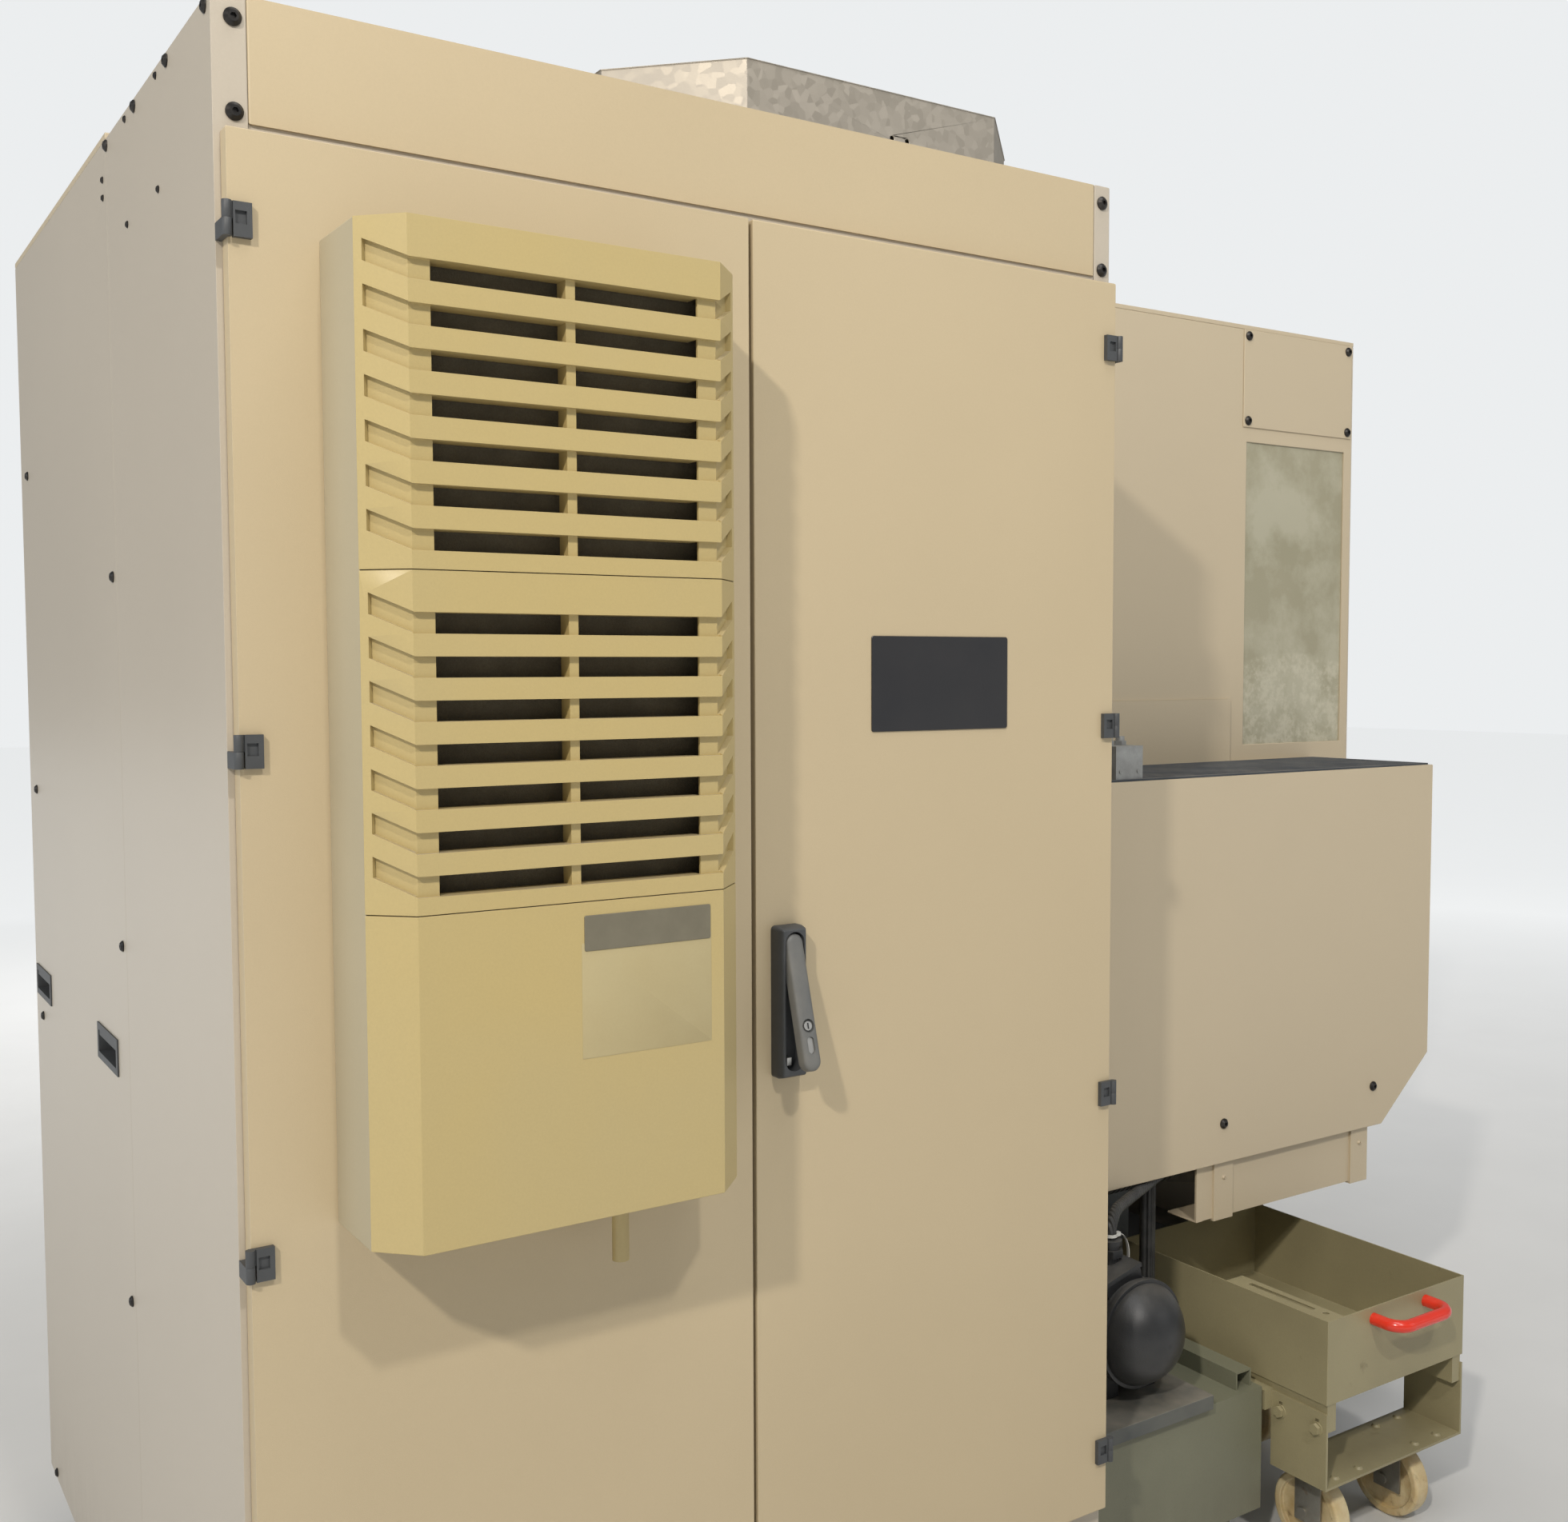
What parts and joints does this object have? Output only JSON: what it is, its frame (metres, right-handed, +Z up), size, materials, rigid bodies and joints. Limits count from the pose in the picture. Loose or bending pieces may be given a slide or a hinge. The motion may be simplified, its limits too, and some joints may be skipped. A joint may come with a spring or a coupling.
{
  "type": "cnc machining center",
  "caption": "Enclosed machining center with rear electrical cabinet, door cooling unit, coolant tank, pump and rolling chip cart; tilting rotary table and travelling spindle inside.",
  "frame": {"origin": "centre of the bounding box on the floor", "axes": "+Z up, -Y towards the operator, +Y towards the electrical cabinet at the rear, +X to the operator's right"},
  "size_m": [2.304, 2.0672, 2.3065],
  "materials": {
    "cast_iron_paint": "satin",
    "frame_paint": "satin",
    "feet_steel": "matt",
    "panel_paint": "satin",
    "door_paint": "satin",
    "galvanised": "satin",
    "black_plastic": "matt",
    "black_screws": "satin",
    "module_plastic": "matt",
    "mat_rubber": "matt",
    "cast_box": "matt",
    "green_paint": "satin",
    "motor_black": "satin",
    "hose_rubber": "matt",
    "unit_paint": "satin",
    "aged_plastic": "satin",
    "coil_aluminium": "satin",
    "fan_plastic": "matt",
    "red_plastic": "gloss",
    "fork_steel": "satin",
    "nylon": "satin",
    "machine_steel": "satin",
    "clear_pane": "gloss",
    "frosted_pane": "matt",
    "console_paint": "satin"
  },
  "bodies": {
    "machine": {"levelling_feet": "feet_steel", "base_frame": "frame_paint", "machine_bed": "cast_iron_paint", "side_panels": "panel_paint", "flush_handles": "black_plastic", "rear_wall": "panel_paint", "access_plate": "panel_paint", "rear_window": "frosted_pane", "low_cover": "panel_paint", "roof_panel": "panel_paint", "roof_cover": "galvanised", "panel_screws": "black_screws", "cabinet_shell": "door_paint", "cabinet_fascia": "door_paint", "mounting_plate": "galvanised", "drive_modules": "module_plastic", "hinge_fixed_halves": "black_plastic", "block_housing": "panel_paint", "block_mat": "mat_rubber", "junction_box": "cast_box", "chute_guard": "panel_paint", "chip_trough": "galvanised", "coolant_tank": "green_paint", "tank_lid": "frame_paint", "pump_motor": "motor_black", "pump_pipework": "hose_rubber", "front_panels": "panel_paint"},
    "left_cabinet_door": {"left_door": "door_paint", "left_hinge_halves": "black_plastic", "cooling_housing": "unit_paint", "upper_grille": "aged_plastic", "middle_grille": "aged_plastic", "lower_cover": "aged_plastic", "condenser": "coil_aluminium", "drain_tube": "aged_plastic"},
    "fan": {"condenser_fan": "fan_plastic"},
    "right_cabinet_door": {"right_door": "door_paint", "right_hinge_halves": "black_plastic", "lever_housing": "black_plastic"},
    "door_lever": {"lever": "black_plastic"},
    "chip_cart": {"cart_tray": "green_paint", "cart_handle": "red_plastic", "cart_chassis": "green_paint"},
    "near_castor": {"swivel_fork_near": "fork_steel"},
    "far_castor": {"swivel_fork_far": "fork_steel"},
    "near_front_wheel": {"wheel_front_near": "nylon"},
    "far_front_wheel": {"wheel_front_far": "nylon"},
    "near_rear_wheel": {"wheel_rear_near": "nylon"},
    "far_rear_wheel": {"wheel_rear_far": "nylon"},
    "y_bridge": {"bridge": "cast_iron_paint"},
    "x_saddle": {"saddle": "machine_steel"},
    "z_ram": {"ram": "machine_steel"},
    "main_spindle": {"spindle": "machine_steel"},
    "table_cradle": {"cradle": "cast_iron_paint"},
    "table": {"rotary_table": "machine_steel"},
    "magazine": {"magazine_disc": "machine_steel"},
    "sliding_door": {"operator_door": "door_paint", "door_window": "clear_pane"},
    "console_arm": {"console": "console_paint"},
    "stop": {"stop_button": "red_plastic"}
  },
  "joints": [
    {"name": "left_door_swing", "type": "hinge", "parent": "machine", "child": "left_cabinet_door", "pos_m": [1.1435, 0.9045, 1], "axis": [0, 0, -1], "range_deg": [0, 110]},
    {"name": "right_door_swing", "type": "hinge", "parent": "machine", "child": "right_cabinet_door", "pos_m": [0.0105, 0.9045, 1], "axis": [0, 0, 1], "range_deg": [0, 110]},
    {"name": "fan_spin", "type": "hinge", "parent": "left_cabinet_door", "child": "fan", "pos_m": [0.8568, 0.963, 1.333], "axis": [0, 1, 0], "continuous": true},
    {"name": "lever_lift", "type": "hinge", "parent": "right_cabinet_door", "child": "door_lever", "pos_m": [0.5319, 0.915, 1.086], "axis": [1, 0, 0], "range_deg": [-15.5, 20]},
    {"name": "cart_roll", "type": "slide", "parent": "machine", "child": "chip_cart", "axis": [0, 1, 0], "range_m": [0, 0.7]},
    {"name": "near_castor_swivel", "type": "hinge", "parent": "chip_cart", "child": "near_castor", "pos_m": [-0.52, 0.8475, 0.138], "axis": [0, 0, 1], "continuous": true},
    {"name": "far_castor_swivel", "type": "hinge", "parent": "chip_cart", "child": "far_castor", "pos_m": [-0.718, 0.8475, 0.138], "axis": [0, 0, 1], "continuous": true},
    {"name": "near_front_wheel_turn", "type": "hinge", "parent": "near_castor", "child": "near_front_wheel", "pos_m": [-0.52, 0.8195, 0.0625], "axis": [1, 0, 0], "continuous": true},
    {"name": "far_front_wheel_turn", "type": "hinge", "parent": "far_castor", "child": "far_front_wheel", "pos_m": [-0.718, 0.8195, 0.0625], "axis": [1, 0, 0], "continuous": true},
    {"name": "near_rear_wheel_turn", "type": "hinge", "parent": "chip_cart", "child": "near_rear_wheel", "pos_m": [-0.52, 0.5225, 0.0625], "axis": [1, 0, 0], "continuous": true},
    {"name": "far_rear_wheel_turn", "type": "hinge", "parent": "chip_cart", "child": "far_rear_wheel", "pos_m": [-0.718, 0.5225, 0.0625], "axis": [1, 0, 0], "continuous": true},
    {"name": "y_travel", "type": "slide", "parent": "machine", "child": "y_bridge", "axis": [0, -1, 0], "range_m": [0, 0.3]},
    {"name": "x_travel", "type": "slide", "parent": "y_bridge", "child": "x_saddle", "axis": [1, 0, 0], "range_m": [-0.2, 0.2]},
    {"name": "z_travel", "type": "slide", "parent": "x_saddle", "child": "z_ram", "axis": [0, 0, -1], "range_m": [0, 0.24]},
    {"name": "spindle_turn", "type": "hinge", "parent": "z_ram", "child": "main_spindle", "pos_m": [0, -0.025, 1.5], "axis": [0, 0, 1], "continuous": true},
    {"name": "table_tilt", "type": "hinge", "parent": "machine", "child": "table_cradle", "pos_m": [0, -0.175, 0.9], "axis": [1, 0, 0], "range_deg": [-100, 30]},
    {"name": "table_turn", "type": "hinge", "parent": "table_cradle", "child": "table", "pos_m": [0, -0.175, 0.85], "axis": [0, 0, 1], "continuous": true},
    {"name": "magazine_turn", "type": "hinge", "parent": "machine", "child": "magazine", "pos_m": [-0.86, 0.02, 1.5], "axis": [0, 1, 0], "continuous": true},
    {"name": "operator_door_slide", "type": "slide", "parent": "machine", "child": "sliding_door", "axis": [-1, 0, 0], "range_m": [0, 0.46]},
    {"name": "console_swing", "type": "hinge", "parent": "machine", "child": "console_arm", "pos_m": [0.64, -0.715, 1.88], "axis": [0, 0, 1], "range_deg": [-30, 30]},
    {"name": "stop_press", "type": "slide", "parent": "console_arm", "child": "stop", "axis": [0, 1, 0], "range_m": [0, 0.006], "stiffness_N_per_m": 900}
  ]
}
